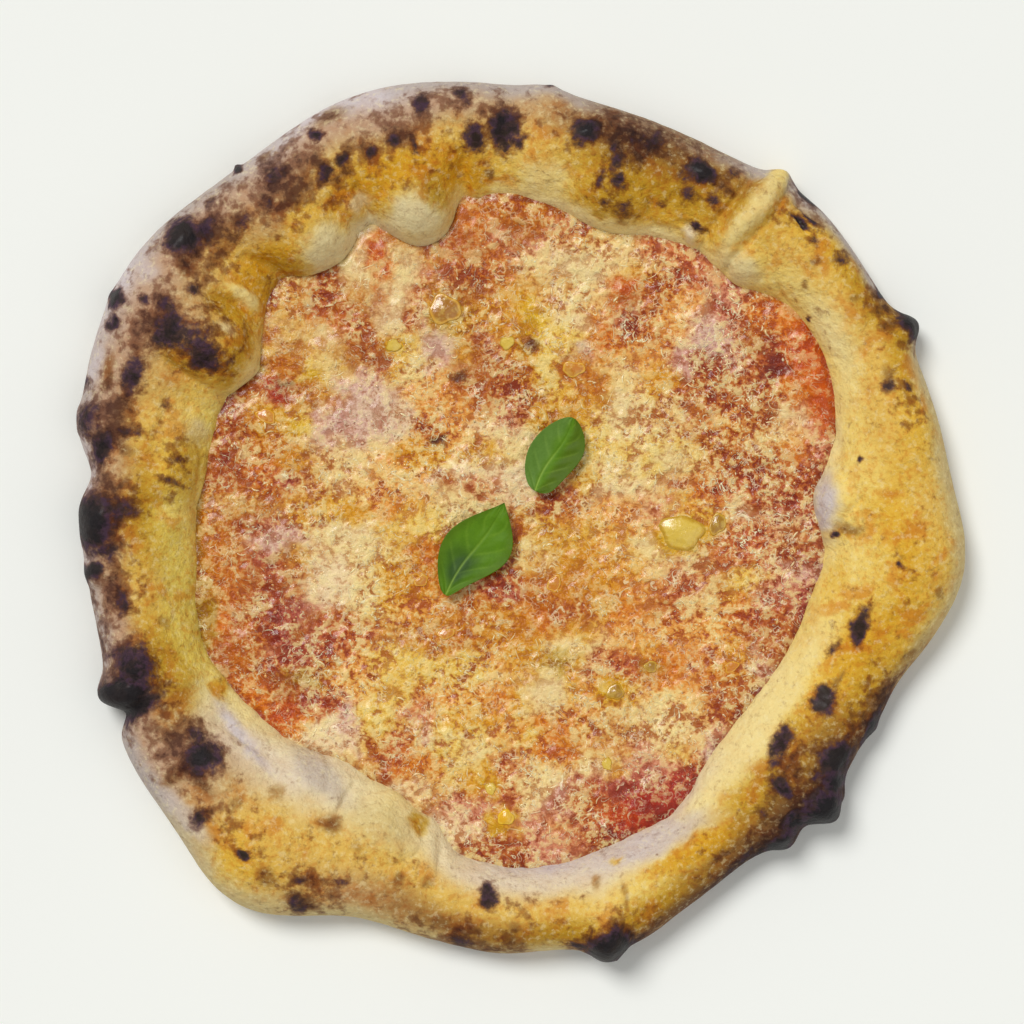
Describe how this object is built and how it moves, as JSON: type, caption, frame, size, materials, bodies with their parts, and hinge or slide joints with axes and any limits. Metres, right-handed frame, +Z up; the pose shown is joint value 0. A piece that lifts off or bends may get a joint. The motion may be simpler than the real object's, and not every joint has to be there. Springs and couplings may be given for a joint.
{
  "type": "pizza",
  "caption": "Round baked pizza with a puffed, charred rim, tomato sauce, melted mozzarella patches and fresh basil leaves on top",
  "frame": {"origin": "Centre of the outline's bounding box, at the flat underside", "axes": "+Z up through the topping; +X to the side where the right-hand basil leaf points away from the charred left rim; +Y towards the two pale inner lobes"},
  "size_m": [0.3196, 0.3166, 0.0303],
  "materials": {
    "crust": "baked, floury, charred in spots",
    "sauce": "wet",
    "cheese": "melted, oily",
    "leaf": "satin"
  },
  "bodies": {
    "root": {"dough": "crust", "tomato_sauce": "sauce", "mozzarella_upper_left": "cheese", "mozzarella_lobe_side": "cheese", "mozzarella_streak": "cheese", "mozzarella_left": "cheese", "mozzarella_left_centre": "cheese", "mozzarella_round_pool": "cheese", "mozzarella_upper_centre": "cheese", "mozzarella_upper_band": "cheese", "mozzarella_upper_right": "cheese", "mozzarella_right_centre": "cheese", "mozzarella_right": "cheese", "mozzarella_left_low": "cheese", "mozzarella_low_left": "cheese", "mozzarella_low_centre": "cheese", "mozzarella_low_right": "cheese", "mozzarella_right_low": "cheese", "mozzarella_centre": "cheese", "mozzarella_left_side": "cheese", "basil_leaf_upper": "leaf", "basil_leaf_lower": "leaf"}
  },
  "joints": []
}
